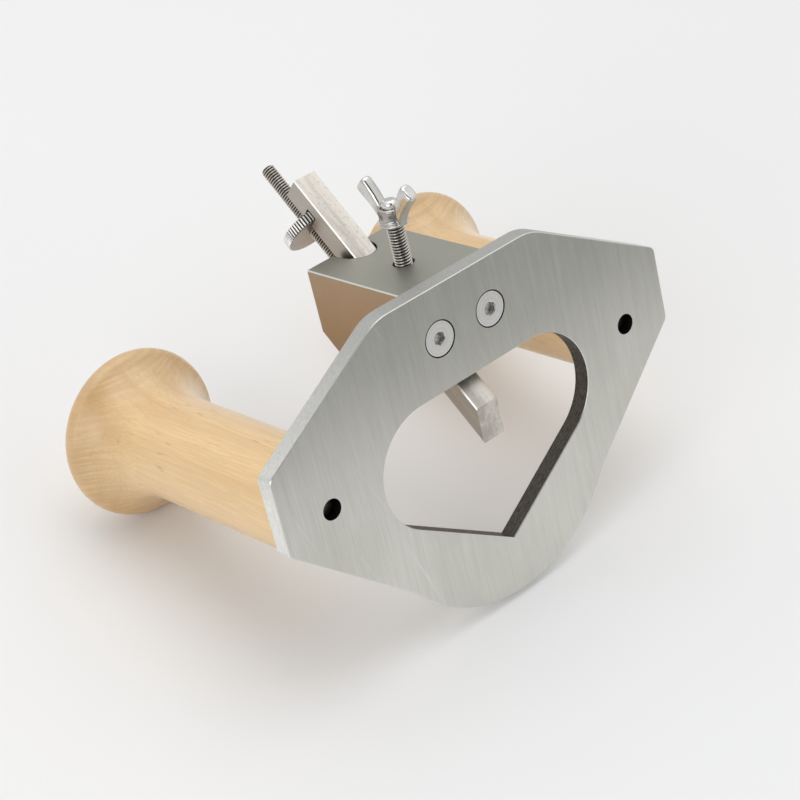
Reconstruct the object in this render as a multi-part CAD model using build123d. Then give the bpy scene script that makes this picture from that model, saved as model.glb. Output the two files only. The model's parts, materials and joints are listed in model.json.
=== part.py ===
from build123d import *
import math
import os

os.makedirs("parts", exist_ok=True)

# Hand router plane, in millimetres.
# Everything is drawn in the sole's frame: X across the sole, Y towards its nose,
# Z up from the working face to the handles. The last section stands the whole
# tool on its two knobs and the nose of the sole, as it rests on a bench.

# Sole plate
sole_width = 170.0
sole_thickness = 6.35
rear_y = -49.6
rear_half_width = 33.4
end_rear_y = -19.9
end_front_y = 6.8
side_angle = 42.0
nose_center_y = 15.6
nose_radius = 51.9
nose_blend_radius = 60.0
flank_inset = 0.9
rear_corner_radius = 18.0
end_corner_radius = 3.0
sole_edge_break = 0.25

# Throat: two round lobes joined by a straight rear edge and a vee
lobe_x = 24.1
lobe_y = 6.6
lobe_radius = 21.4
vee_y = 47.8

# Clamp block
block_width = 36.0
block_rear_y = -49.1
block_front_y = -15.6
block_top_z = 52.8
block_chamfer = 11.0
block_edge_break = 0.4

# Cutter bar, sloping back and up from its tip
cutter_angle = 45.0
tip_y = 2.5
tip_depth = 1.6
bar_size = 9.0
bar_length = 101.6
bar_edge_break = 0.4
bar_bore_radius = 6.7

# Depth adjuster: threaded rod and knurled wheel in line above the bar
rod_radius = 2.45
rod_hole_radius = 2.5
rod_offset = 10.4
rod_end = 115.6
rod_start = 47.0
rod_end_bevel = 0.5
rod_hole_start = 45.5
wheel_radius = 10.8
wheel_thickness = 3.8
wheel_start = 88.3
wheel_bore_radius = 2.5
wheel_edge_break = 0.4
knurl_count = 60
knurl_depth = 0.4
notch_play = 0.3
notch_floor = -0.55

# Lock screw: M6 stud with a wing head
lock_z = 24.4
stud_radius = 2.95
lock_hole_radius = 3.0
lock_hole_bevel = 0.7
stud_gap = 0.05
stud_flat_radius = 1.2
hub_gap = 13.6
hub_height = 6.3
hub_radius = 4.85
hub_neck_radius = 4.5
hub_top_radius = 4.1
hub_flange = 1.6
stud_proud = 1.4
stud_end_round = 1.2
wing_angle = 44.0
wing_end_radius = 11.2
wing_end_rise = 12.9
wing_length = 13.0
wing_width = 5.3
wing_thickness = 3.0
wing_edge_round = 0.9

# Block screws: M6 countersunk socket screws
screw_spacing = 22.0
screw_y = -32.3
screw_length = 18.0
screw_hole_depth = 14.0
screw_radius = 2.95
screw_end_bevel = 0.6
tapped_radius = 3.0
clearance_radius = 3.3
head_radius = 5.85
head_inset = 0.15
head_rim = 0.2
countersink_radius = 6.25
socket_across_flats = 4.0
socket_depth = 2.3

# Handles: turned wood on M8 studs
handle_x = 65.9
barrel_radius = 17.7
barrel_end = 78.0
knob_radius = 29.0
knob_rim_radius = 4.5
knob_rim_z = 104.3
knob_under_angle = 50.0
handle_top = 116.5
handle_edge_break = 0.8
handle_stud_radius = 3.5
handle_stud_bevel = 0.5
handle_hole_radius = 3.55
handle_stud_inset = 3.6
handle_stud_top = 36.0
handle_bore_top = 38.0


def sole_outline():
    """Outline of the sole: a bevelled plate with a round nose blended in."""
    half = sole_width / 2
    foot_x = flank_inset * nose_radius * math.sin(math.radians(side_angle))
    foot_y = end_front_y + (half - foot_x) * math.tan(math.radians(side_angle))
    with BuildSketch() as outline:
        with BuildLine():
            right = [(rear_half_width, rear_y), (half, end_rear_y), (half, end_front_y), (foot_x, foot_y)]
            left = [(-x, y) for x, y in reversed(right)]
            Polyline(*right, *left, close=True)
        make_face()
        with Locations((0, nose_center_y)):
            Circle(nose_radius)
        corners = outline.vertices()
        fillet(corners.filter_by_position(Axis.Y, nose_center_y, foot_y), nose_blend_radius)
        corners = outline.vertices()
        fillet([v for v in corners if abs(v.Y - rear_y) < 0.01], rear_corner_radius)
        corners = outline.vertices()
        fillet([v for v in corners if abs(abs(v.X) - half) < 0.01], end_corner_radius)
    return outline.sketch


def throat_outline():
    """Outline of the throat: rear edge, two lobes, and tangents that meet at the vee."""
    reach = math.hypot(lobe_x, vee_y - lobe_y)
    slope = math.atan2(lobe_x, vee_y - lobe_y) + math.asin(lobe_radius / reach)
    run = math.sqrt(reach**2 - lobe_radius**2)
    touch = (run * math.sin(slope), vee_y - run * math.cos(slope))
    middle = (slope - math.pi / 2) / 2
    bulge = (lobe_x + lobe_radius * math.cos(middle), lobe_y + lobe_radius * math.sin(middle))
    rear = (lobe_x, lobe_y - lobe_radius)
    with BuildSketch() as throat:
        with BuildLine():
            Line((-rear[0], rear[1]), rear)
            ThreePointArc(rear, bulge, touch)
            Polyline(touch, (0, vee_y), (-touch[0], touch[1]))
            ThreePointArc((-touch[0], touch[1]), (-bulge[0], bulge[1]), (-rear[0], rear[1]))
        make_face()
    return throat.sketch


def cone_hole(radius, drill_radius):
    """A 90 degree countersink with its mouth at Z 0, and the drilled hole above it."""
    depth = radius - drill_radius
    sink = Cone(radius, drill_radius, depth, align=(Align.CENTER, Align.CENTER, Align.MIN))
    return sink + Cylinder(drill_radius, sole_thickness, align=(Align.CENTER, Align.CENTER, Align.MIN))


def make_sole():
    plate = extrude(sole_outline() - throat_outline(), sole_thickness)
    flat_edges = plate.edges().filter_by(lambda e: abs(e.center().Z) < 0.01)
    flat_edges += plate.edges().filter_by(lambda e: abs(e.center().Z - sole_thickness) < 0.01)
    plate = chamfer(flat_edges, sole_edge_break)
    for side in (-1, 1):
        plate -= Pos(side * screw_spacing / 2, screw_y, 0) * cone_hole(countersink_radius, clearance_radius)
        hole = Cylinder(handle_hole_radius, sole_thickness, align=(Align.CENTER, Align.CENTER, Align.MIN))
        plate -= Pos(side * handle_x, 0, 0) * hole
    return plate


def rod_up(radius, start, end):
    """A cylinder along local Z from start to end."""
    return Pos(0, 0, start) * Cylinder(radius, end - start, align=(Align.CENTER, Align.CENTER, Align.MIN))


def make_block():
    depth = block_front_y - block_rear_y
    height = block_top_z - sole_thickness
    with BuildSketch(Plane.YZ) as side:
        with BuildLine():
            Polyline(
                (block_rear_y, sole_thickness),
                (block_front_y, sole_thickness),
                (block_front_y, block_top_z - block_chamfer),
                (block_front_y - block_chamfer, block_top_z),
                (block_rear_y, block_top_z),
                close=True,
            )
        make_face()
    block = extrude(side.sketch, block_width / 2, both=True)
    upper_edges = block.edges().filter_by(lambda e: e.center().Z > sole_thickness + 0.01)
    block = chamfer(upper_edges, block_edge_break)
    reach = depth + height
    block -= cutter_frame * rod_up(bar_bore_radius, -reach, 2 * reach)
    block -= cutter_frame * Pos(0, rod_offset, 0) * rod_up(rod_hole_radius, rod_hole_start, 2 * reach)
    bore_from_face = cutter_axis_y(lock_z) - block_rear_y
    block -= lock_frame * rod_up(lock_hole_radius, -bore_from_face, 1)
    bevel = Cone(lock_hole_radius, lock_hole_radius + lock_hole_bevel, lock_hole_bevel,
                 align=(Align.CENTER, Align.CENTER, Align.MAX))
    block -= lock_frame * bevel
    for side_sign in (-1, 1):
        hole = rod_up(tapped_radius, sole_thickness, sole_thickness + screw_hole_depth)
        block -= Pos(side_sign * screw_spacing / 2, screw_y, 0) * hole
    return block


def cutter_axis_y(z):
    """Y of the bar's centre line at height z above the working face."""
    return tip_y - (z + tip_depth) / math.tan(math.radians(cutter_angle))


def make_cutter():
    """Square bar: tip cut parallel to the sole, and a notch across it for the wheel."""
    half = bar_size / 2
    skew = half / math.tan(math.radians(cutter_angle))
    notch_low = wheel_start - notch_play
    notch_high = wheel_start + wheel_thickness + notch_play
    with BuildSketch(Plane.YZ) as side:
        with BuildLine():
            Polyline(
                (-half, skew),
                (half, -skew),
                (half, notch_low),
                (notch_floor, notch_low),
                (notch_floor, notch_high),
                (half, notch_high),
                (half, bar_length),
                (-half, bar_length),
                close=True,
            )
        make_face()
    bar = extrude(side.sketch, half, both=True)
    long_edges = bar.edges().filter_by(Axis.Z).filter_by(lambda e: e.length > bar_size / 2 + 1)
    bar = chamfer([e for e in long_edges if abs(abs(e.center().X) - half) < 0.01], bar_edge_break)
    return cutter_frame * bar


def make_rod():
    rod = rod_up(rod_radius, rod_start, rod_end)
    rod = chamfer(rod.edges().filter_by(GeomType.CIRCLE), rod_end_bevel)
    return cutter_frame * Pos(0, rod_offset, 0) * rod


def make_wheel():
    wheel = rod_up(wheel_radius, wheel_start, wheel_start + wheel_thickness)
    wheel = chamfer(wheel.edges().filter_by(GeomType.CIRCLE), wheel_edge_break)
    groove = Pos(wheel_radius, 0, wheel_start) * Rot(0, 0, 45) * Box(
        knurl_depth * math.sqrt(2), knurl_depth * math.sqrt(2), wheel_thickness,
        align=(Align.CENTER, Align.CENTER, Align.MIN))
    wheel -= [Rot(0, 0, 360 / knurl_count * i) * groove for i in range(knurl_count)]
    wheel -= rod_up(wheel_bore_radius, wheel_start - 1, wheel_start + wheel_thickness + 1)
    return cutter_frame * Pos(0, rod_offset, 0) * wheel


def make_lock_stud():
    """The M6 stud: a 45 degree cone at its tip lies along the sloping bar."""
    cone_length = stud_radius - stud_flat_radius
    bar_face_y = cutter_axis_y(lock_z) - bar_size / 2 / math.sin(math.radians(cutter_angle))
    tip = block_rear_y - (bar_face_y - stud_flat_radius - stud_gap)
    top = hub_gap + hub_height + stud_proud
    stud = rod_up(stud_radius, tip + cone_length, top)
    stud += Pos(0, 0, tip) * Cone(stud_flat_radius, stud_radius, cone_length,
                                  align=(Align.CENTER, Align.CENTER, Align.MIN))
    stud = fillet(stud.faces().sort_by(Axis.Z)[-1].edges(), stud_end_round)
    return lock_frame * stud


def make_wing():
    """Wing head: a tapered hub with a flange, and two wings that rise away from the block."""
    hub = rod_up(hub_radius, hub_gap, hub_gap + hub_flange)
    hub += Pos(0, 0, hub_gap + hub_flange) * Cone(hub_neck_radius, hub_top_radius, hub_height - hub_flange,
                                                  align=(Align.CENTER, Align.CENTER, Align.MIN))
    wing = Box(wing_thickness, wing_width, wing_length, align=(Align.CENTER, Align.CENTER, Align.MAX))
    wing = fillet(wing.edges(), wing_edge_round)
    wing = Pos(0, wing_end_radius, hub_gap + wing_end_rise) * Rot(-wing_angle, 0, 0) * wing
    wings = wing + mirror(wing, Plane.XZ)
    head = hub + wings
    head -= rod_up(lock_hole_radius, hub_gap - 1, hub_gap + 2 * hub_height)
    return lock_frame * head


def make_block_screw(side):
    rim_end = head_inset + head_rim
    cone_end = rim_end + head_radius - screw_radius
    screw = rod_up(head_radius, head_inset, rim_end)
    screw += Pos(0, 0, rim_end) * Cone(head_radius, screw_radius, head_radius - screw_radius,
                                       align=(Align.CENTER, Align.CENTER, Align.MIN))
    screw += rod_up(screw_radius, cone_end, screw_length)
    screw = chamfer(screw.faces().sort_by(Axis.Z)[-1].edges(), screw_end_bevel)
    socket = extrude(RegularPolygon(socket_across_flats / 2, 6, major_radius=False), socket_depth)
    screw -= Pos(0, 0, head_inset) * socket
    return Pos(side * screw_spacing / 2, screw_y, 0) * screw


def make_handle(side):
    """Turned handle: straight barrel, hollow flare, and a domed knob with a round rim."""
    rim_x = knob_radius - knob_rim_radius
    rise = handle_top - knob_rim_z
    dome_radius = (rise**2 + rim_x**2 - knob_rim_radius**2) / (2 * (rise - knob_rim_radius))
    dome_z = handle_top - dome_radius
    join = math.atan2(knob_rim_z - dome_z, rim_x)
    rim_join = (rim_x + knob_rim_radius * math.cos(join), knob_rim_z + knob_rim_radius * math.sin(join))
    dome_middle = (join + math.pi / 2) / 2
    dome_point = (dome_radius * math.cos(dome_middle), dome_z + dome_radius * math.sin(dome_middle))
    under = -math.radians(knob_under_angle)
    rim_under = (rim_x + knob_rim_radius * math.cos(under), knob_rim_z + knob_rim_radius * math.sin(under))
    flare_tangent = (-math.sin(under), math.cos(under))
    with BuildSketch(Plane.XZ) as profile:
        with BuildLine():
            Polyline((0, sole_thickness), (barrel_radius - handle_edge_break, sole_thickness),
                     (barrel_radius, sole_thickness + handle_edge_break), (barrel_radius, barrel_end))
            Spline((barrel_radius, barrel_end), rim_under, tangents=[(0, 1), flare_tangent])
            ThreePointArc(rim_under, (knob_radius, knob_rim_z), rim_join)
            ThreePointArc(rim_join, dome_point, (0, handle_top))
            Line((0, handle_top), (0, sole_thickness))
        make_face()
    handle = revolve(profile.sketch, Axis.Z)
    handle -= rod_up(handle_hole_radius, sole_thickness, handle_bore_top)
    return Pos(side * handle_x, 0, 0) * handle


def make_handle_stud(side):
    stud = rod_up(handle_stud_radius, handle_stud_inset, handle_stud_top)
    stud = chamfer(stud.edges().filter_by(GeomType.CIRCLE), handle_stud_bevel)
    return Pos(side * handle_x, 0, 0) * stud


# Local frames: Z runs up the bar from its tip, or out of the block along the lock screw
angle = math.radians(cutter_angle)
cutter_frame = Plane((0, tip_y, -tip_depth), x_dir=(1, 0, 0), z_dir=(0, -math.cos(angle), math.sin(angle)))
lock_frame = Plane((0, block_rear_y, lock_z), x_dir=(1, 0, 0), z_dir=(0, -1, 0))

pieces = {
    "sole_plate": make_sole(),
    "clamp_block": make_block(),
    "cutter_bar": make_cutter(),
    "adjuster_rod": make_rod(),
    "thumb_wheel": make_wheel(),
    "lock_stud": make_lock_stud(),
    "wing_head": make_wing(),
}
for name, sign in (("left", -1), ("right", 1)):
    pieces[f"block_screw_{name}"] = make_block_screw(sign)
    pieces[f"handle_{name}"] = make_handle(sign)
    pieces[f"handle_stud_{name}"] = make_handle_stud(sign)

# Resting pose: the floor touches both knob rims and the upper edge of the nose,
# so the floor line is the tangent from that edge to the rim's round section.
nose_y = nose_center_y + nose_radius
to_rim_y = nose_y - (knob_radius - knob_rim_radius)
to_rim_z = knob_rim_z - sole_thickness
rest_tilt = math.degrees(
    math.atan2(to_rim_y, to_rim_z) - math.asin(knob_rim_radius / math.hypot(to_rim_y, to_rim_z))
)
turn = Rot(-90 - rest_tilt, 0, 0)
box = Compound([turn * piece for piece in pieces.values()]).bounding_box()
stand = Pos(0, -(box.min.Y + box.max.Y) / 2, -box.min.Z) * turn

for name, piece in pieces.items():
    export_step(stand * piece, f"parts/{name}.step")

print(f"rest tilt {rest_tilt:.3f} degrees, shift Y {stand.position.Y:.4f} Z {stand.position.Z:.4f}")
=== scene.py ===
import json
import math

import bmesh
import bpy
from mathutils import Matrix, Vector


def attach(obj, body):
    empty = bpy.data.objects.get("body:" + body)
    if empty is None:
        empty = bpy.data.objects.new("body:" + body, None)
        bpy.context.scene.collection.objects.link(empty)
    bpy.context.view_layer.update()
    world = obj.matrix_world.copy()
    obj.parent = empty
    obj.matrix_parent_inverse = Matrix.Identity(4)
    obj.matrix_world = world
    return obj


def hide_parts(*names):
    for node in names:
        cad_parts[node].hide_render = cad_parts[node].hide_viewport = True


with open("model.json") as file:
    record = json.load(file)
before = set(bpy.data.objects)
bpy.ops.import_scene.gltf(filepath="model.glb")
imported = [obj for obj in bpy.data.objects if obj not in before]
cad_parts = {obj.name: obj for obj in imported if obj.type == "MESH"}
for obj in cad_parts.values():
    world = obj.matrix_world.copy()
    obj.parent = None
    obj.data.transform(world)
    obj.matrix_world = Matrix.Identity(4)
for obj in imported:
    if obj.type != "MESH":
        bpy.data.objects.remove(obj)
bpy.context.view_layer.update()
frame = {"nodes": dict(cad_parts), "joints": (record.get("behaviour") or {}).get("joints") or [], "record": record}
nodes = frame["nodes"]
joints = {joint["name"]: joint for joint in frame["joints"]}
mounts = {mount["name"]: mount for mount in frame["record"]["mounts"]}

# ------------------------------------------------------------------ places
# The sole's own frame, in millimetres: X across the sole, Y towards its nose,
# Z from the working face towards the knobs. The record's "sole" mount gives it.
MM = 0.001
MOUNT_Y = 57.0
sole_up = -Vector(mounts["sole"]["axis"])
sole_side = Vector((1, 0, 0))
sole_nose = sole_up.cross(sole_side)
sole_frame = Matrix((sole_side, sole_nose, sole_up)).transposed().to_4x4()
sole_frame.translation = Vector(mounts["sole"]["pos_m"]) - sole_nose * MOUNT_Y * MM

SOLE_THICKNESS = 6.35
HANDLE_X = 65.9
SCREW_X = 11.0
SCREW_Y = -32.3
LOCK_Z = 24.4
BLOCK_REAR_Y = -49.1
THROAT_MIDDLE = (0, 12)
THROAT_REACH = 48.5
ROD_OFFSET = 10.4
THREAD_DEPTH = 0.6  # share of the pitch

# Radii within which the materials paint shade on a hole's wall
SCREW_SINK = 6.3
HANDLE_HOLE = 4.0
BAR_BORE = 6.72
LOCK_BORE = 3.75

# Radii in metres: the floor is pale up to the first and has a painted fall-off of light to grey from the second
FLOOR_LIT = 0.52
FLOOR_DARK = 0.95

# In the sole's frame the camera stands beyond the working face, to the left and rear
CAMERA_PLACE = (-383.8, -328.6, -500.0)
CAMERA_FORWARD = (0.5145, 0.4494, 0.7302)
CAMERA_UP = (0.4477, -0.8671, 0.2183)


def axis_frame(origin, z_axis):
    """A frame with its origin in metres, its Z along z_axis and its X across the sole."""
    z_axis = z_axis.normalized()
    y_axis = z_axis.cross(sole_side).normalized()
    matrix = Matrix((y_axis.cross(z_axis), y_axis, z_axis)).transposed().to_4x4()
    matrix.translation = origin
    return matrix


def on_sole(x, y):
    """The sole's frame moved to a point of the working face, in millimetres."""
    return sole_frame @ Matrix.Translation(Vector((x, y, 0)) * MM)


def turn_about_x(place):
    """The turn that takes the row frame's directions into a frame that is only tilted about X."""
    return (place.to_3x3().transposed().to_euler().x, 0, 0)


# Z up the adjuster rod from the thumb wheel's middle, out along the lock screw, and up the bar
wheel_joint = joints["wheel_turn"]
rod_frame = axis_frame(Vector(wheel_joint["pos_m"]), -Vector(wheel_joint["axis"]))
lock_face = sole_frame @ (Vector((0, BLOCK_REAR_Y, LOCK_Z)) * MM)
lock_frame = axis_frame(lock_face, Vector(joints["wing_turn"]["axis"]))
bar_frame = rod_frame @ Matrix.Translation((0, -ROD_OFFSET * MM, 0))

# --------------------------------------------------------------- mesh tools


def finish_mesh(name, bm, place, material, smooth_angle=35.0):
    """An object in the row frame from a bmesh in local millimetres, smooth up to an angle."""
    bmesh.ops.remove_doubles(bm, verts=bm.verts, dist=1e-4)
    bmesh.ops.recalc_face_normals(bm, faces=bm.faces)
    limit = math.radians(smooth_angle)
    for face in bm.faces:
        face.smooth = True
    for edge in bm.edges:
        edge.smooth = len(edge.link_faces) == 2 and edge.calc_face_angle(0.0) < limit
    mesh = bpy.data.meshes.new(name)
    bm.to_mesh(mesh)
    bm.free()
    mesh.transform(place @ Matrix.Scale(MM, 4))
    mesh.materials.append(material)
    piece = bpy.data.objects.new(name, mesh)
    bpy.context.scene.collection.objects.link(piece)
    return piece


def skin_rings(bm, rings, closed=False):
    """Joins rings of equal length with quads. A ring of one point closes as a fan."""
    made = [[bm.verts.new(point) for point in ring] for ring in rings]
    pairs = list(zip(made, made[1:]))
    if closed:
        pairs.append((made[-1], made[0]))
    for low, high in pairs:
        count = max(len(low), len(high))
        for i in range(count):
            j = (i + 1) % count
            if len(low) == 1:
                bm.faces.new((low[0], high[j], high[i]))
            elif len(high) == 1:
                bm.faces.new((low[i], low[j], high[0]))
            else:
                bm.faces.new((low[i], low[j], high[j], high[i]))


def circle(radius, z, count):
    """A ring of points, or a single point where the radius is 0."""
    if radius == 0:
        return [(0, 0, z)]
    turn = 2 * math.pi / count
    return [(radius * math.cos(turn * i), radius * math.sin(turn * i), z) for i in range(count)]


def lathe(bm, profile, count):
    """Turns (radius, z) points about Z, with count points in a ring."""
    skin_rings(bm, [circle(radius, z, count) for radius, z in profile])


def arc(center, radius, start, end, steps):
    """Points on an arc in a profile, angles in degrees from the radial direction."""
    points = []
    for i in range(steps + 1):
        angle = math.radians(start + (end - start) * i / steps)
        points.append((center[0] + radius * math.cos(angle), center[1] + radius * math.sin(angle)))
    return points


def thread_shape(share):
    """Height of a 60 degree thread over one pitch, 0 at the root and 1 at the crest."""
    slope = abs(2 * (share % 1.0) - 1)
    return min(max((slope - 0.12) / 0.72, 0.0), 1.0)


def thread_bolt(bm, radius, pitch, start, end, taper_start, taper_end):
    """A right-hand threaded rod along Z. Rows follow the helix, and the ends are cut square.

    Each taper is the length of the bevel at that end."""
    depth = THREAD_DEPTH * pitch
    around = 40
    rows_per_pitch = 8
    floor = radius - depth - 0.1
    first = math.floor((start - pitch) / pitch) * rows_per_pitch
    last = math.ceil((end + pitch) / pitch) * rows_per_pitch
    rows = []
    for i in range(first, last + 1):
        row = []
        for j in range(around + 1):
            share = j / around
            z = (i / rows_per_pitch + share - 0.5) * pitch
            r = radius - depth * (1 - thread_shape(i / rows_per_pitch))
            for distance, taper in ((z - start, taper_start), (end - z, taper_end)):
                if taper:
                    r = min(r, floor + max(distance, 0.0) / taper * (radius - floor))
            angle = 2 * math.pi * share
            row.append(bm.verts.new((r * math.cos(angle), r * math.sin(angle), z)))
        rows.append(row)
    for low, high in zip(rows, rows[1:]):
        for j in range(around):
            bm.faces.new((low[j], low[j + 1], high[j + 1], high[j]))
    # The seam: a row's last point is the first point of the row one pitch up
    bmesh.ops.remove_doubles(bm, verts=bm.verts, dist=1e-3)
    for height, normal in ((start, -1), (end, 1)):
        geometry = bm.verts[:] + bm.edges[:] + bm.faces[:]
        cut = bmesh.ops.bisect_plane(bm, geom=geometry, dist=1e-4, plane_co=(0, 0, height),
                                     plane_no=(0, 0, normal), clear_outer=True)
        rim = [item for item in cut["geom_cut"] if isinstance(item, bmesh.types.BMEdge)]
        bmesh.ops.edgeloop_fill(bm, edges=rim)


# ---------------------------------------------------------------- materials
BEVEL_HIGHLIGHT = (0.86, 0.85, 0.81)
BORE_PAINTED_SHADE = (0.030, 0.028, 0.024)
SINK_PAINTED_SHADE = (0.035, 0.032, 0.028)


def tone(color, share):
    """A colour made darker or lighter by a share."""
    return tuple(min(c * share, 1) for c in color)


class Nodes:
    """A material's node tree, with short calls for the nodes used here."""

    def __init__(self, name):
        self.material = bpy.data.materials.new(name)
        self.material.use_nodes = True
        self.tree = self.material.node_tree
        self.shader = self.tree.nodes["Principled BSDF"]
        self.coordinates = self.tree.nodes.new("ShaderNodeTexCoord").outputs["Object"]

    def feed(self, socket, value):
        """Links a socket to another one, or sets its value."""
        if isinstance(value, bpy.types.NodeSocket):
            self.tree.links.new(value, socket)
        else:
            socket.default_value = value

    def add(self, kind, inputs=None, **settings):
        """A new node with its settings, its inputs linked or set."""
        node = self.tree.nodes.new("ShaderNode" + kind)
        for key, value in settings.items():
            setattr(node, key, value)
        for key, value in (inputs or {}).items():
            self.feed(node.inputs[key], value)
        return node

    def mapped(self, scale, turn=(0, 0, 0), source=None):
        """Object coordinates, turned and then scaled, in cycles per metre."""
        inputs = {"Vector": source or self.coordinates, "Rotation": turn}
        turned = self.add("Mapping", inputs, vector_type="POINT")
        return self.add("Mapping", {"Vector": turned.outputs[0], "Scale": scale}).outputs[0]

    def local(self, place):
        """Coordinates in a piece's own frame, in millimetres."""
        inputs = {0: self.coordinates, 1: tuple(place.translation)}
        moved = self.add("VectorMath", inputs, operation="SUBTRACT").outputs[0]
        turn = tuple(place.to_3x3().transposed().to_euler())
        inputs = {"Vector": moved, "Rotation": turn, "Scale": (1000, 1000, 1000)}
        return self.add("Mapping", inputs, vector_type="POINT").outputs[0]

    def facing(self, place):
        """How squarely the surface faces along X, Y and Z of a frame, from 0 to 1."""
        normal = self.tree.nodes.new("ShaderNodeTexCoord").outputs["Normal"]
        turn = tuple(place.to_3x3().transposed().to_euler())
        turned = self.add("Mapping", {"Vector": normal, "Rotation": turn}, vector_type="VECTOR")
        size = self.add("VectorMath", {0: turned.outputs[0]}, operation="ABSOLUTE").outputs[0]
        return self.add("SeparateXYZ", {0: size}).outputs

    def near(self, point, center, low, high):
        """1 within low millimetres of an axis along Z, 0 beyond high, alike on both sides of X = 0."""
        folded = self.add("VectorMath", {0: point}, operation="ABSOLUTE").outputs[0]
        parts = self.add("SeparateXYZ", {0: folded}).outputs
        level = self.add("SeparateXYZ", {0: point}).outputs[1]
        flat = self.add("CombineXYZ", {"X": parts[0], "Y": level}).outputs[0]
        reach = self.add("VectorMath", {0: flat, 1: (*center, 0)}, operation="DISTANCE").outputs["Value"]
        share = self.math("MULTIPLY", reach, 0.01)
        return self.ramp(share, (low / 100, 1.0), (high / 100, 0.0))

    def away(self, point):
        """Distance of a point from the Z axis, in the point's own unit."""
        flat = self.add("VectorMath", {0: point, 1: (1, 1, 0)}, operation="MULTIPLY").outputs[0]
        return self.add("VectorMath", {0: flat}, operation="LENGTH").outputs["Value"]

    def noise(self, vector, detail=4.0, rough=0.6, distortion=0.0, scale=1.0):
        inputs = {"Vector": vector, "Scale": scale, "Detail": detail, "Roughness": rough,
                  "Distortion": distortion}
        return self.add("TexNoise", inputs).outputs["Fac"]

    def ramp(self, value, *stops):
        """Maps a value through colour stops: (position, colour or grey)."""
        node = self.add("ValToRGB", {"Fac": value})
        elements = node.color_ramp.elements
        while len(elements) < len(stops):
            elements.new(0.5)
        for element, (position, color) in zip(elements, stops):
            element.position = position
            element.color = (*color, 1) if isinstance(color, tuple) else (color, color, color, 1)
        return node.outputs["Color"]

    def mix(self, factor, a, b, blend="MIX"):
        node = self.add("Mix", data_type="RGBA", blend_type=blend)
        for key, value in ((0, factor), (6, a), (7, b)):
            self.feed(node.inputs[key], (*value, 1) if isinstance(value, tuple) else value)
        return node.outputs[2]

    def math(self, operation, a, b=0.0):
        node = self.add("Math", operation=operation)
        for socket, value in zip(node.inputs, (a, b)):
            self.feed(socket, value)
        return node.outputs[0]

    def bump(self, height, distance, below=None):
        inputs = {"Height": height, "Distance": distance}
        if below:
            inputs["Normal"] = below
        return self.add("Bump", inputs).outputs["Normal"]

    def surface(self, **inputs):
        """Sets or links the shader's sockets, with _ for a space in a name, and gives the material."""
        for key, value in inputs.items():
            self.feed(self.shader.inputs[key.replace("_", " ")], value)
        return self.material


SOLE_TURN = turn_about_x(sole_frame)


def ground_steel(name, place, grain, face, side, rough, side_rough, streaks, smear=0.0, bores=()):
    """Ground steel: face colour, a side colour along X that is painted reflection on the block and painted shade
    on the bar, and pale painted highlights on the bevels.

    streaks is how much the grain darkens, and smear how strong the stains and spots are. Each bore
    is a frame and a radius in millimetres, with painted shade inside."""
    m = Nodes(name)
    turn = turn_about_x(place)
    facing = m.facing(place)
    fine = m.noise(m.mapped(grain, turn), detail=6.0, rough=0.7)
    coarse = m.noise(m.mapped(tuple(0.22 * g for g in grain), turn), detail=3.0, rough=0.6)
    cloud = m.noise(m.mapped((30, 30, 30)), detail=3.0, rough=0.55)
    streak = m.mix(0.5, fine, coarse)
    # Side faces along X get their own colour: painted reflection of the wooden handles on the block, painted shade
    # on the bar
    on_side = m.ramp(facing[0], (0.80, 0.0), (0.95, 1.0))
    color = m.mix(on_side, face, side)
    shade = m.ramp(streak, (0.32, 1 - streaks), (0.68, 1.0))
    color = m.mix(1.0, color, shade, "MULTIPLY")
    if smear:
        marks = m.noise(m.mapped((90, 90, 12), turn), detail=5.0, rough=0.65, distortion=0.6)
        color = m.mix(m.ramp(marks, (0.44, 0.0), (0.58, smear)), color, tone(face, 0.55))
        spots = m.noise(m.mapped((1300, 1300, 900), turn), detail=2.0, rough=0.5)
        color = m.mix(m.ramp(spots, (0.56, 0.0), (0.70, smear * 0.6)), color, tone(face, 0.5))
    color = m.mix(m.ramp(cloud, (0.40, 0.0), (0.80, 0.22)), color, tone(face, 0.8))
    # Painted highlight: bevel faces at about 45 degrees to X are made pale
    bevel = m.ramp(facing[0], (0.45, 0.0), (0.55, 0.85), (0.80, 0.85), (0.90, 0.0))
    color = m.mix(bevel, color, BEVEL_HIGHLIGHT)
    # Painted shade: the walls of each bore are made dark
    for bore, radius in bores:
        reach = m.math("MULTIPLY", m.away(m.local(bore)), 0.01)
        inside = m.ramp(reach, (radius / 100, 1.0), (radius / 100 + 0.0015, 0.0))
        color = m.mix(inside, color, BORE_PAINTED_SHADE)
    base_rough = m.mix(on_side, (rough,) * 3, (side_rough,) * 3)
    roughness = m.math("ADD", base_rough, m.math("MULTIPLY", m.math("SUBTRACT", fine, 0.5), 0.18))
    return m.surface(Base_Color=color, Metallic=1.0, Roughness=roughness, Normal=m.bump(fine, 5e-6))


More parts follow.
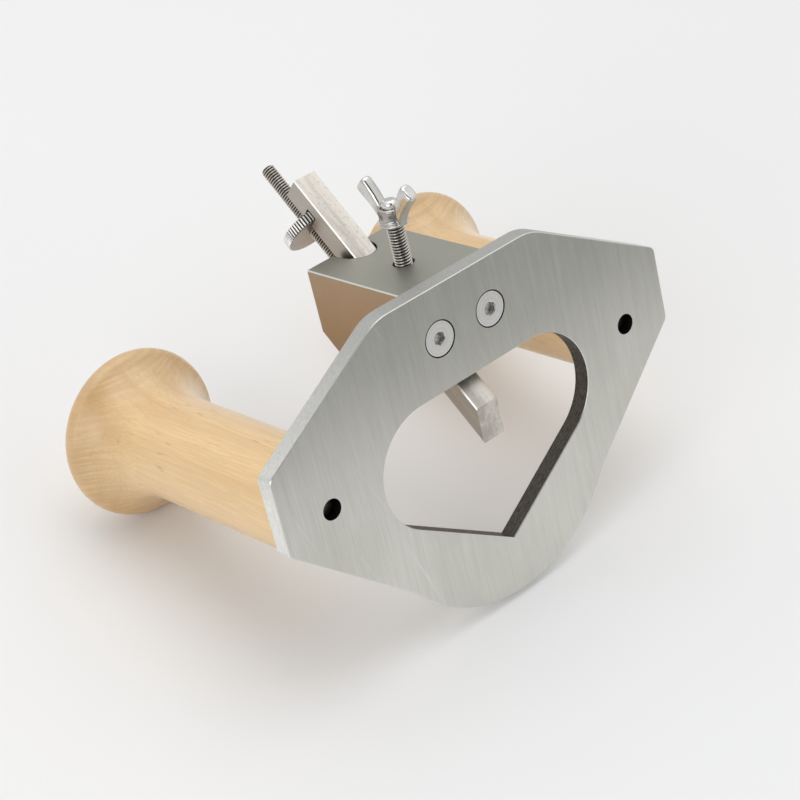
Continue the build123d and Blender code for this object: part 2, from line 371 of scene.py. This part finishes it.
def sole_steel():
    """The sole: fine grain from rear to nose, a painted reflection that brightens it towards the nose,
    pale sawn edges with painted shade towards the rear, and painted shade in the cut throat and holes."""
    m = Nodes("sole_steel")
    point = m.local(sole_frame)
    facing = m.facing(sole_frame)
    fine = m.noise(m.mapped((2600, 60, 2600), SOLE_TURN), detail=5.0, rough=0.65)
    coarse = m.noise(m.mapped((420, 16, 420), SOLE_TURN), detail=3.0, rough=0.6)
    cloud = m.noise(m.mapped((26, 14, 26), SOLE_TURN), detail=4.0, rough=0.6)
    cut = m.noise(m.mapped((700, 700, 2600), SOLE_TURN), detail=4.0, rough=0.6)
    scratch = m.noise(m.mapped((1500, 24, 1500), (SOLE_TURN[0], 0, 0.35)), detail=2.0, rough=0.4)
    streak = m.mix(0.40, fine, coarse)
    color = m.ramp(streak, (0.30, (0.480, 0.475, 0.438)), (0.70, (0.605, 0.60, 0.555)))
    color = m.mix(m.ramp(cloud, (0.44, 0.0), (0.72, 0.50)), color, (0.43, 0.428, 0.385))
    color = m.mix(m.ramp(scratch, (0.70, 0.0), (0.76, 0.30)), color, (0.72, 0.72, 0.70))
    parts = m.add("SeparateXYZ", {0: point}).outputs
    # Painted reflection: the sole is made brighter towards the nose and slightly towards -X
    across = m.math("SUBTRACT", parts[1], m.math("MULTIPLY", parts[0], 0.12))
    painted_reflection = m.math("MULTIPLY", m.math("ADD", across, 60.0), 0.008)
    painted_reflection = m.ramp(painted_reflection, (0.12, 0.82), (0.25, 0.88), (0.47, 1.14), (0.60, 1.20), (0.96, 1.28))
    color = m.mix(1.0, color, painted_reflection, "MULTIPLY")
    wall = m.ramp(facing[2], (0.30, 1.0), (0.60, 0.0))
    edge = m.ramp(cut, (0.35, (0.78, 0.775, 0.745)), (0.65, (0.93, 0.925, 0.895)))
    # Painted shade: the pale walls are darkened towards the rear
    rear = m.math("MULTIPLY", m.math("ADD", parts[1], 60.0), 0.01)
    edge = m.mix(1.0, edge, m.ramp(rear, (0.10, 0.56), (0.50, 1.0)), "MULTIPLY")
    color = m.mix(wall, color, edge)
    # Painted shade: the walls of the cut throat are made near black
    throat = m.math("MULTIPLY", wall, m.near(point, THROAT_MIDDLE, THROAT_REACH, THROAT_REACH + 1))
    throat_shade = m.ramp(cut, (0.35, (0.060, 0.055, 0.045)), (0.65, (0.15, 0.14, 0.12)))
    color = m.mix(throat, color, throat_shade)
    # Painted shade: countersink cones and hole walls round the screws and handle studs are made dark
    sunk = m.ramp(facing[2], (0.85, 1.0), (0.95, 0.0))
    screw_holes = m.near(point, (SCREW_X, SCREW_Y), SCREW_SINK, SCREW_SINK + 0.2)
    handle_holes = m.near(point, (HANDLE_X, 0), HANDLE_HOLE, HANDLE_HOLE + 0.2)
    holes = m.math("MAXIMUM", screw_holes, handle_holes)
    sunk = m.math("MULTIPLY", sunk, holes)
    color = m.mix(sunk, color, SINK_PAINTED_SHADE)
    # Painted highlight: the bevels between the face and the walls are made pale
    bevel = m.ramp(facing[2], (0.60, 0.0), (0.66, 0.8), (0.80, 0.8), (0.90, 0.0))
    bevel = m.math("MULTIPLY", bevel, m.math("SUBTRACT", 1.0, holes))
    color = m.mix(bevel, color, (0.78, 0.77, 0.75))
    roughness = m.math("ADD", m.math("MULTIPLY", streak, 0.24), 0.22)
    roughness = m.math("ADD", roughness, m.math("MULTIPLY", wall, 0.22))
    normal = m.bump(fine, 8e-6)
    normal = m.bump(coarse, 10e-6, below=normal)
    return m.surface(Base_Color=color, Metallic=1.0, Roughness=roughness, Normal=normal)


def maple():
    """Lacquered maple: long pale grain, brown flecks, end-grain lines and a browner rim at the knob that is
    painted shade, under a soft clear coat."""
    m = Nodes("lacquered_maple")
    straight = m.mapped((1, 1, 1), SOLE_TURN)
    bent = m.noise(m.mapped((26, 26, 5), SOLE_TURN), detail=2.0, rough=0.5)
    sway = {"X": m.math("MULTIPLY", bent, 0.012), "Y": m.math("MULTIPLY", bent, 0.016)}
    shift = m.add("CombineXYZ", sway).outputs[0]
    warped = m.add("VectorMath", {0: straight, 1: shift}, operation="ADD").outputs[0]
    rings = m.noise(m.mapped((150, 42, 5), source=warped), detail=4.0, rough=0.55)
    fibre = m.noise(m.mapped((1500, 1500, 46), source=warped), detail=4.0, rough=0.7)
    fleck = m.noise(m.mapped((900, 520, 110), SOLE_TURN), detail=2.0, rough=0.5)
    cloud = m.noise(m.mapped((16, 16, 8), SOLE_TURN), detail=3.0, rough=0.5)
    color = m.ramp(rings, (0.30, (0.90, 0.635, 0.335)), (0.52, (0.84, 0.570, 0.285)),
                   (0.72, (0.73, 0.460, 0.210)))
    color = m.mix(m.ramp(cloud, (0.35, 0.0), (0.80, 0.55)), color, (0.89, 0.665, 0.385))
    color = m.mix(m.ramp(fibre, (0.44, 0.26), (0.62, 0.0)), color, (0.56, 0.36, 0.18))
    color = m.mix(m.ramp(fleck, (0.64, 0.0), (0.74, 0.40)), color, (0.42, 0.24, 0.11))
    up = m.add("SeparateXYZ", {0: m.local(sole_frame)}).outputs[2]
    height = m.math("MULTIPLY", up, 0.005)
    end_grain = m.noise(m.mapped((34, 820, 60), SOLE_TURN), detail=4.0, rough=0.65)
    at_knob = m.ramp(height, (0.42, 0.0), (0.50, 0.55))
    lines = m.math("MULTIPLY", m.ramp(end_grain, (0.42, 1.0), (0.60, 0.0)), at_knob)
    color = m.mix(lines, color, (0.56, 0.37, 0.185))
    # Painted shade: a browner band round the knob's rim, set by height
    rim = m.ramp(height, (0.42, 0.0), (0.50, 0.28), (0.53, 0.62), (0.58, 0.40))
    color = m.mix(rim, color, (0.60, 0.385, 0.19))
    roughness = m.math("ADD", m.math("MULTIPLY", fibre, 0.20), 0.26)
    normal = m.bump(fibre, 14e-6)
    return m.surface(Base_Color=color, Roughness=roughness, Normal=normal, Coat_Weight=0.5,
                     Coat_Roughness=0.18, Specular_IOR_Level=0.45)


def turned_steel(name, place, base, rough, ring_scale=5.2, valley=None):
    """Steel turned on a lathe: fine rings round the piece's own Z axis.

    valley gives the two radii between which a knurl's painted shade in the valleys gives way to painted highlights
    on the crests."""
    m = Nodes(name)
    point = m.local(place)
    radius = m.away(point)
    along = m.add("SeparateXYZ", {0: point}).outputs[2]
    ring_place = m.add("CombineXYZ", {"X": radius, "Y": along}).outputs[0]
    rings = m.noise(ring_place, detail=4.0, rough=0.6, scale=ring_scale)
    cloud = m.noise(m.mapped((120, 120, 120)), detail=4.0, rough=0.6)
    color = m.ramp(rings, (0.30, tone(base, 0.84)), (0.70, tone(base, 1.06)))
    color = m.mix(m.ramp(cloud, (0.45, 0.0), (0.85, 0.35)), color, tone(base, 0.76))
    if valley:
        # Knurl: painted highlight on the rim's crests and painted shade in its valleys
        on_rim = m.ramp(m.facing(place)[2], (0.40, 1.0), (0.60, 0.0))
        share = m.math("MULTIPLY", radius, 0.05)
        valley_shade = m.ramp(share, (valley[0] * 0.05, 1.0), (valley[1] * 0.05, 0.0))
        crest = m.mix(on_rim, color, (0.88, 0.86, 0.83))
        color = m.mix(m.math("MULTIPLY", on_rim, valley_shade), crest, (0.075, 0.068, 0.060))
    roughness = m.math("ADD", m.math("MULTIPLY", rings, 0.14), rough - 0.07)
    return m.surface(Base_Color=color, Metallic=1.0, Roughness=roughness, Normal=m.bump(rings, 5e-6))


def cast_polish():
    """The wing head: a polished casting with an orange-peel skin and a painted dark reflection round the hub's
    waist.
    """
    m = Nodes("polished_casting")
    skin = m.noise(m.mapped((420, 420, 420)), detail=3.0, rough=0.5)
    fine = m.noise(m.mapped((3200, 3200, 3200)), detail=3.0, rough=0.6)
    cloud = m.noise(m.mapped((160, 160, 160)), detail=3.0, rough=0.5)
    color = m.ramp(cloud, (0.30, (0.55, 0.54, 0.51)), (0.70, (0.76, 0.75, 0.72)))
    point = m.local(lock_frame)
    level = m.math("MULTIPLY", m.add("SeparateXYZ", {0: point}).outputs[2], 0.02)
    # Painted reflection: the hub's waist between the wings is darkened
    waist = m.ramp(level, (0.31, 0.0), (0.325, 1.0), (0.385, 1.0), (0.40, 0.0))
    reach = m.math("MULTIPLY", m.away(point), 0.1)
    hub = m.math("MULTIPLY", waist, m.ramp(reach, (0.46, 1.0), (0.56, 0.0)))
    hub_dark_reflection = m.math("MULTIPLY", hub, m.ramp(cloud, (0.40, 0.35), (0.56, 0.90)))
    color = m.mix(hub_dark_reflection, color, (0.10, 0.095, 0.085))
    roughness = m.math("ADD", m.math("MULTIPLY", fine, 0.12), 0.12)
    normal = m.bump(fine, 3e-6, below=m.bump(skin, 45e-6))
    return m.surface(Base_Color=color, Metallic=1.0, Roughness=roughness, Normal=normal)


def thread_steel(name, place, root, crest, bright=(0.78, 0.75, 0.71)):
    """Rolled thread: painted shade in the roots, giving way to bright metal on the crests, between two radii."""
    m = Nodes(name)
    radius = m.math("MULTIPLY", m.away(m.local(place)), 0.1)
    cloud = m.noise(m.mapped((260, 260, 260)), detail=3.0, rough=0.6)
    fine = m.noise(m.mapped((2600, 2600, 2600)), detail=2.0, rough=0.5)
    metal = m.ramp(cloud, (0.34, tone(bright, 0.78)), (0.66, bright))
    rise = crest - root
    # Painted shade: the thread's roots are made dark
    share = m.ramp(radius, ((root + 0.25 * rise) / 10, 0.0), ((root + 0.75 * rise) / 10, 1.0))
    color = m.mix(share, (0.11, 0.098, 0.084), metal)
    roughness = m.math("ADD", m.math("MULTIPLY", fine, 0.16), 0.20)
    return m.surface(Base_Color=color, Metallic=1.0, Roughness=roughness, Normal=m.bump(fine, 2e-6))


def dark_socket():
    """The inside of a screw's hexagon: painted shade in dull grey, with painted highlights in bright patches."""
    m = Nodes("socket_painted_shade")
    worn = m.noise(m.mapped((900, 900, 900)), detail=3.0, rough=0.6)
    # Painted shade in grey with painted highlights in paler patches
    color = m.ramp(worn, (0.38, (0.30, 0.29, 0.27)), (0.62, (0.85, 0.84, 0.81)))
    roughness = m.math("ADD", m.math("MULTIPLY", worn, 0.3), 0.3)
    return m.surface(Base_Color=color, Metallic=1.0, Roughness=roughness, Normal=m.bump(worn, 8e-6))


steel_sole = sole_steel()
# side: warm brown as painted reflection of the wooden handles on the block's sides
steel_block = ground_steel(
    "block_steel", sole_frame, grain=(1700, 90, 90), face=(0.42, 0.415, 0.365),
    side=(0.49, 0.385, 0.285), rough=0.48, side_rough=0.46, streaks=0.06,
    bores=((bar_frame, BAR_BORE), (lock_frame, LOCK_BORE)))
# side: darker tone as painted shade on the bar's sides
steel_bar = ground_steel(
    "bar_steel", rod_frame, grain=(1500, 1500, 70), face=(0.735, 0.69, 0.625),
    side=(0.535, 0.495, 0.445), rough=0.36, side_rough=0.40, streaks=0.16, smear=0.8)
steel_wheel = turned_steel("wheel_steel", rod_frame, (0.56, 0.525, 0.50), 0.32, valley=(10.45, 10.66))
steel_wing = cast_polish()
steel_socket = dark_socket()
wood = maple()

# ------------------------------------------------------------ carried nodes
carried = {"sole_plate": steel_sole, "clamp_block": steel_block, "cutter_bar": steel_bar}
for name, material in carried.items():
    nodes[name].data.materials.clear()
    nodes[name].data.materials.append(material)

# ------------------------------------------------------------------ threads
ROD_RADIUS = 2.5
ROD_PITCH = 0.94
ROD_ABOVE = 25.4
ROD_BELOW = 43.2
LOCK_RADIUS = 2.97
LOCK_PITCH = 1.0
LOCK_TIP = -18.75
LOCK_THREAD_END = 14.0
LOCK_TOP = 22.2
LOCK_DOME = 1.6
STUD_RADIUS = 3.52
STUD_PITCH = 1.25
STUD_START = 3.6
STUD_END = 36.0


def threaded_piece(name, node, radius, pitch, start, end, tapers, place, **look):
    """A fixed threaded rod that stands for a plain cylinder of the CAD model."""
    bm = bmesh.new()
    thread_bolt(bm, radius, pitch, start, end, *tapers)
    steel = thread_steel(f"{name}_steel", place, radius - THREAD_DEPTH * pitch, radius, **look)
    piece = finish_mesh(name, bm, place, steel, smooth_angle=25.0)
    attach(piece, "frame")
    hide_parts(node)


threaded_piece("adjuster_rod_thread", "adjuster_rod", ROD_RADIUS, ROD_PITCH,
               -ROD_BELOW, ROD_ABOVE, (0.6, 0.6), rod_frame)


def lock_screw():
    """The lock screw: a thread up to the wing head's hub, a cone inside and a domed end."""
    bm = bmesh.new()
    thread_bolt(bm, LOCK_RADIUS, LOCK_PITCH, LOCK_TIP + 1.0, LOCK_THREAD_END, 1.2, 0.0)
    cone = [(0, LOCK_TIP), (1.2, LOCK_TIP), (2.4, LOCK_TIP + 1.2), (0, LOCK_TIP + 1.3)]
    lathe(bm, cone, 40)
    neck = LOCK_RADIUS - 0.12
    foot = LOCK_THREAD_END - 0.2
    round_end = arc((neck - LOCK_DOME, LOCK_TOP - LOCK_DOME), LOCK_DOME, 0, 80, 10)
    lathe(bm, [(0, foot), (neck, foot), *round_end, (0, LOCK_TOP)], 48)
    root = LOCK_RADIUS - THREAD_DEPTH * LOCK_PITCH
    steel = thread_steel("lock_screw_steel", lock_frame, root, LOCK_RADIUS)
    piece = finish_mesh("lock_screw_thread", bm, lock_frame, steel, smooth_angle=25.0)
    bright = turned_steel("lock_screw_end_steel", lock_frame, (0.78, 0.77, 0.75), 0.22)
    piece.data.materials.append(bright)
    inward = lock_frame.inverted()
    for polygon in piece.data.polygons:
        if (inward @ polygon.center).z > LOCK_THREAD_END * MM:
            polygon.material_index = 1
    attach(piece, "lock_screw")
    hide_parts("lock_stud")


lock_screw()
for side, label in ((-1, "left"), (1, "right")):
    threaded_piece(f"handle_stud_thread_{label}", f"handle_stud_{label}", STUD_RADIUS, STUD_PITCH,
                   STUD_START, STUD_END, (1.0, 0.8), on_sole(side * HANDLE_X, 0),
                   bright=(0.34, 0.32, 0.29))

# -------------------------------------------------------------- thumb wheel
WHEEL_RADIUS = 10.8
WHEEL_HALF = 1.9
WHEEL_BORE = 2.58
KNURLS = 60
KNURL_DEPTH = 0.5
KNURL_STEPS = 8
FACE_EDGE = 1.0
BORE_BEVEL = 0.35


def knurl_radius(step):
    """Rim radius at one of the steps round a tooth: a flat crest and a round valley."""
    share = abs(2 * (step % KNURL_STEPS) / KNURL_STEPS - 1)
    return WHEEL_RADIUS - KNURL_DEPTH * (1 - min(share * 1.35, 1.0)) ** 0.8


def thumb_wheel():
    """The knurled wheel: straight knurl with rounded edges, flat faces and a bevelled bore."""
    around = KNURLS * KNURL_STEPS
    turn = 2 * math.pi / around

    def rim(inset, z):
        points = []
        for i in range(around):
            radius = min(knurl_radius(i), WHEEL_RADIUS - inset)
            points.append((radius * math.cos(turn * i), radius * math.sin(turn * i), z))
        return points

    bm = bmesh.new()
    half = WHEEL_HALF
    face = (WHEEL_BORE + BORE_BEVEL, WHEEL_RADIUS - FACE_EDGE)
    rings = [
        circle(face[0], -half, around), circle(face[1], -half, around),
        rim(0.55, -half), rim(0.25, -half + 0.16), rim(0.0, -half + 0.42),
        rim(0.0, half - 0.42), rim(0.25, half - 0.16), rim(0.55, half),
        circle(face[1], half, around), circle(face[0], half, around),
        circle(WHEEL_BORE, half - BORE_BEVEL, around), circle(WHEEL_BORE, -half + BORE_BEVEL, around),
    ]
    skin_rings(bm, rings, closed=True)
    piece = finish_mesh("knurled_wheel", bm, rod_frame, steel_wheel, smooth_angle=28.0)
    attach(piece, "wheel")
    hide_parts("thumb_wheel")


thumb_wheel()

# ---------------------------------------------------------------- wing head
HUB_BASE = 13.6
WING_ROOT = (3.4, 15.0)
WING_BEND = (4.7, 19.8)
WING_END = (11.5, 26.7)
WING_POINTS = 36
WING_SQUARENESS = 3.2  # 2 makes a section an ellipse, and more makes it squarer


def wing_ring(share, width, thick):
    """One section of a wing, whose path leaves the hub along the axis and bends outwards."""
    ends = [Vector((0, *point)) for point in (WING_ROOT, WING_BEND, WING_END)]
    middle = ends[0] * (1 - share) ** 2 + ends[1] * (2 * share * (1 - share)) + ends[2] * share**2
    run = (ends[1] - ends[0]) * (1 - share) + (ends[2] - ends[1]) * share
    across = Vector((0, run.z, -run.y)).normalized()
    points = []
    for i in range(WING_POINTS):
        angle = 2 * math.pi * i / WING_POINTS
        cosine, sine = math.cos(angle), math.sin(angle)
        power = WING_SQUARENESS
        reach = (abs(cosine) ** power + abs(sine) ** power) ** (-1 / power)
        sideways = Vector((reach * sine * thick / 2, 0, 0))
        points.append(middle + across * (reach * cosine * width / 2) + sideways)
    return points


def wing_head():
    """The wing head: a turned hub with a double base ring and two wings, blended into one casting."""
    bm = bmesh.new()
    # Radius, then height over the hub's base
    hub = [(0, 0), (4.2, 0), (4.75, 0.2), (5.0, 0.5), (5.0, 0.8), (4.5, 1.05), (4.5, 1.3), (4.95, 1.6),
           (4.95, 1.9), (4.55, 2.3), (4.45, 3.4), (4.6, 4.8), (4.55, 5.8), (4.2, 6.2), (3.9, 6.3),
           (3.5, 6.15), (3.3, 5.3), (0, 5.3)]
    hub = [(radius, HUB_BASE + rise) for radius, rise in hub]
    lathe(bm, hub, 64)
    # Share of the path, then width and thickness
    sections = [(0.0, 3.4, 3.8), (0.25, 3.9, 4.2), (0.45, 4.5, 4.2), (0.65, 5.2, 4.2), (0.82, 5.8, 4.3),
                (0.93, 6.1, 4.3), (0.97, 5.9, 4.1), (0.99, 5.3, 3.5), (1.0, 4.2, 2.6)]
    rings = [wing_ring(*section) for section in sections]
    centers = [sum(rings[i], Vector()) / len(rings[i]) for i in (0, -1)]
    for side in (1, -1):
        mirrored = [[Vector((p.x * side, p.y * side, p.z)) for p in ring] for ring in rings]
        ends = [Vector((c.x * side, c.y * side, c.z)) for c in centers]
        skin_rings(bm, [[ends[0]], *mirrored, [ends[1]]])
    piece = finish_mesh("wing_head_casting", bm, lock_frame, steel_wing)
    bpy.context.view_layer.objects.active = piece
    remesh = piece.modifiers.new("blend", "REMESH")
    remesh.mode = "VOXEL"
    remesh.voxel_size = 0.14 * MM
    soften = piece.modifiers.new("soften", "SMOOTH")
    soften.iterations = 6
    soften.factor = 0.5
    bpy.context.view_layer.update()
    evaluated = piece.evaluated_get(bpy.context.evaluated_depsgraph_get())
    merged = bpy.data.meshes.new_from_object(evaluated)
    piece.modifiers.clear()
    piece.data = merged
    for polygon in piece.data.polygons:
        polygon.use_smooth = True
    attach(piece, "wing")
    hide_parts("wing_head")


wing_head()

# ------------------------------------------------------------- block screws
HEAD_RADIUS = 5.85
HEAD_INSET = 0.12
SOCKET_REACH = 2.0
SOCKET_DEPTH = 2.3
SHANK_RADIUS = 2.95
SHANK_END = 18.0


def hexagon(reach, z, count):
    """A ring of points on a hexagon, reach being from its centre to a flat."""
    points = []
    for i in range(count):
        angle = 2 * math.pi * i / count
        radius = reach / math.cos((angle + math.pi / 6) % (math.pi / 3) - math.pi / 6)
        points.append((radius * math.cos(angle), radius * math.sin(angle), z))
    return points


def block_screw(side, label):
    """A countersunk screw: flat head with a worn rim, hexagon socket with a drilled floor."""
    count = 96
    face = HEAD_INSET
    cone = HEAD_RADIUS - SHANK_RADIUS
    place = on_sole(side * SCREW_X, SCREW_Y)
    bm = bmesh.new()
    floor = face + SOCKET_DEPTH
    rings = [
        [(0, 0, floor + 0.55)], circle(1.2, floor + 0.12, count),
        hexagon(SOCKET_REACH - 0.06, floor, count),
        hexagon(SOCKET_REACH, floor - 0.15, count), hexagon(SOCKET_REACH, face + 0.28, count),
        circle(SOCKET_REACH * 1.19, face + 0.02, count), circle(SOCKET_REACH * 1.28, face, count),
        circle(HEAD_RADIUS - 0.35, face, count), circle(HEAD_RADIUS - 0.1, face + 0.05, count),
        circle(HEAD_RADIUS, face + 0.25, count), circle(HEAD_RADIUS - cone, face + 0.25 + cone, count),
        circle(SHANK_RADIUS - 0.05, SHANK_END - 0.6, count), circle(2.4, SHANK_END, count),
        [(0, 0, SHANK_END)],
    ]
    skin_rings(bm, rings)
    steel = turned_steel(f"screw_steel_{label}", place, (0.76, 0.75, 0.725), 0.24, 4.2)
    piece = finish_mesh(f"socket_screw_{label}", bm, place, steel, smooth_angle=4.5)
    # The socket's inner faces take the painted-shade material
    piece.data.materials.append(steel_socket)
    inward = place.inverted()
    for polygon in piece.data.polygons:
        center = (inward @ polygon.center) / MM
        in_reach = math.hypot(center.x, center.y) < SOCKET_REACH * 1.22
        if in_reach and face + 0.1 < center.z < floor + 1:
            polygon.material_index = 1
    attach(piece, "frame")
    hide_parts(f"block_screw_{label}")


block_screw(-1, "left")
block_screw(1, "right")

# ------------------------------------------------------------------ handles
BARREL_RADIUS = 17.7
BARREL_END = 78.0
KNOB_RADIUS = 29.0
RIM_RADIUS = 4.5
RIM_Z = 104.3
RIM_UNDER = -50  # angle at which the flare meets the rim
HANDLE_TOP = 116.5
FOOT_ROUND = 0.8


def flare(start, end, start_slope, end_slope, steps):
    """A smooth cubic between two profile points, with the given end directions."""
    points = []
    for i in range(1, steps):
        t = i / steps
        weights = (2 * t**3 - 3 * t**2 + 1, t**3 - 2 * t**2 + t, -2 * t**3 + 3 * t**2, t**3 - t**2)
        terms = (start, start_slope, end, end_slope)
        points.append(tuple(sum(w * term[axis] for w, term in zip(weights, terms)) for axis in (0, 1)))
    return points


def handle(side, label):
    """A turned handle: straight barrel, hollow flare, thin round rim and a low domed top."""
    rim_x = KNOB_RADIUS - RIM_RADIUS
    rise = HANDLE_TOP - RIM_Z
    dome_radius = (rise**2 + rim_x**2 - RIM_RADIUS**2) / (2 * (rise - RIM_RADIUS))
    dome_z = HANDLE_TOP - dome_radius
    join = math.degrees(math.atan2(RIM_Z - dome_z, rim_x))
    rim = arc((rim_x, RIM_Z), RIM_RADIUS, RIM_UNDER, join, 22)
    reach = math.hypot(rim[0][0] - BARREL_RADIUS, rim[0][1] - BARREL_END)
    tangent = math.radians(90 + RIM_UNDER)
    run_out = (reach * math.cos(tangent), reach * math.sin(tangent))
    foot = BARREL_RADIUS - FOOT_ROUND
    profile = [(0, SOLE_THICKNESS), (15.0, SOLE_THICKNESS), (foot, SOLE_THICKNESS)]
    profile += arc((foot, SOLE_THICKNESS + FOOT_ROUND), FOOT_ROUND, -90, 0, 6)[1:]
    profile += [(BARREL_RADIUS, SOLE_THICKNESS + 2 + 6 * i) for i in range(12)]
    profile += [(BARREL_RADIUS, BARREL_END)]
    profile += flare((BARREL_RADIUS, BARREL_END), rim[0], (0, reach), run_out, 22)
    profile += rim
    profile += arc((0, dome_z), dome_radius, join, 90, 18)[1:-1]
    profile += [(0, HANDLE_TOP)]
    bm = bmesh.new()
    lathe(bm, profile, 128)
    piece = finish_mesh(f"turned_handle_{label}", bm, on_sole(side * HANDLE_X, 0), wood)
    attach(piece, "frame")
    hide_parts(f"handle_{label}")


handle(-1, "left")
handle(1, "right")

# -------------------------------------------------------- floor and backdrop


def floor_paper():
    """Pale paper, with a painted fall-off of light to a darker grey outside the lit area."""
    m = Nodes("floor_paper")
    cloud = m.noise(m.mapped((3, 3, 3)), detail=3.0, rough=0.5)
    fine = m.noise(m.mapped((900, 900, 900)), detail=2.0, rough=0.5)
    color = m.ramp(cloud, (0.3, (0.860, 0.858, 0.857)), (0.7, (0.872, 0.871, 0.872)))
    reach = m.math("MULTIPLY", m.away(m.coordinates), 0.5)
    # Painted fall-off of light: the floor turns grey away from the middle
    far = m.ramp(reach, (FLOOR_LIT / 2, 0.0), (FLOOR_DARK / 2, 1.0))
    color = m.mix(far, color, (0.50, 0.50, 0.50))
    normal = m.bump(fine, 6e-6)
    return m.surface(Base_Color=color, Roughness=0.75, Specular_IOR_Level=0.2, Normal=normal)


bm = bmesh.new()
bmesh.ops.create_grid(bm, x_segments=8, y_segments=8, size=2500.0)
floor = finish_mesh("floor", bm, Matrix.Identity(4), floor_paper())

# -------------------------------------------------------------- light, world


LIGHT_TARGET = Vector((0, 0, 0.05))
SKY_LOW = (0.52, 0.52, 0.515)
SKY_HIGH = (0.80, 0.805, 0.81)
SKY_RISE = 0.65  # sine of the height at which the sky reaches its high tone
SKY_STRENGTH = 1.16
ROOM_TONE = (0.05, 0.05, 0.05)
ROOM_SPREAD = (0.77, 0.90)  # cosines of the angles where the dark room starts and is darkest


def area_light(name, place, width, height, power, color):
    """A rectangular light that faces the tool, sizes in metres and power in watts."""
    data = bpy.data.lights.new(name, "AREA")
    data.shape = "RECTANGLE"
    data.size = width
    data.size_y = height
    data.energy = power
    data.color = color
    light = bpy.data.objects.new(name, data)
    light.location = place
    light.rotation_euler = (LIGHT_TARGET - Vector(place)).to_track_quat("-Z", "Y").to_euler()
    bpy.context.scene.collection.objects.link(light)


def studio_world(dark_side):
    """A pale sky, brighter overhead, with a dark room towards dark_side."""
    world = bpy.data.worlds.new("studio")
    world.use_nodes = True
    bpy.context.scene.world = world
    add = world.node_tree.nodes.new
    link = world.node_tree.links.new
    background = world.node_tree.nodes["Background"]
    background.inputs["Strength"].default_value = SKY_STRENGTH

    def blend(value, *stops):
        node = add("ShaderNodeValToRGB")
        for element, (position, color) in zip(node.color_ramp.elements, stops):
            element.position = position
            element.color = (*color, 1)
        link(value, node.inputs["Fac"])
        return node.outputs["Color"]

    direction = add("ShaderNodeTexCoord").outputs["Generated"]
    split = add("ShaderNodeSeparateXYZ")
    link(direction, split.inputs[0])
    sky = blend(split.outputs["Z"], (0.0, SKY_LOW), (SKY_RISE, SKY_HIGH))
    toward = add("ShaderNodeVectorMath")
    toward.operation = "DOT_PRODUCT"
    toward.inputs[1].default_value = dark_side
    link(direction, toward.inputs[0])
    room = blend(toward.outputs["Value"], (ROOM_SPREAD[0], (1, 1, 1)), (ROOM_SPREAD[1], ROOM_TONE))
    both = add("ShaderNodeMix")
    both.data_type = "RGBA"
    both.blend_type = "MULTIPLY"
    both.inputs[0].default_value = 1.0
    link(sky, both.inputs[6])
    link(room, both.inputs[7])
    link(both.outputs[2], background.inputs["Color"])


forward = (sole_frame.to_3x3() @ Vector(CAMERA_FORWARD)).normalized()
area_light("key", (0.30, 0.58, 1.80), 1.7, 1.7, 9.3, (1.0, 0.995, 0.985))
area_light("fill", (-1.5, -0.6, 1.0), 1.4, 1.2, 10.4, (0.99, 0.995, 1.0))
studio_world(-forward)

# ------------------------------------------------------------------- camera
LENS = 99.6
SENSOR = 36.0

up = (sole_frame.to_3x3() @ Vector(CAMERA_UP)).normalized()
camera_data = bpy.data.cameras.new("camera")
camera_data.lens = LENS
camera_data.sensor_width = SENSOR
camera_data.clip_end = 20.0
camera = bpy.data.objects.new("camera", camera_data)
view = Matrix((forward.cross(up), up, -forward)).transposed().to_4x4()
view.translation = sole_frame @ (Vector(CAMERA_PLACE) * MM)
camera.matrix_world = view
bpy.context.scene.collection.objects.link(camera)
bpy.context.scene.camera = camera
bpy.context.scene.view_settings.view_transform = "Standard"
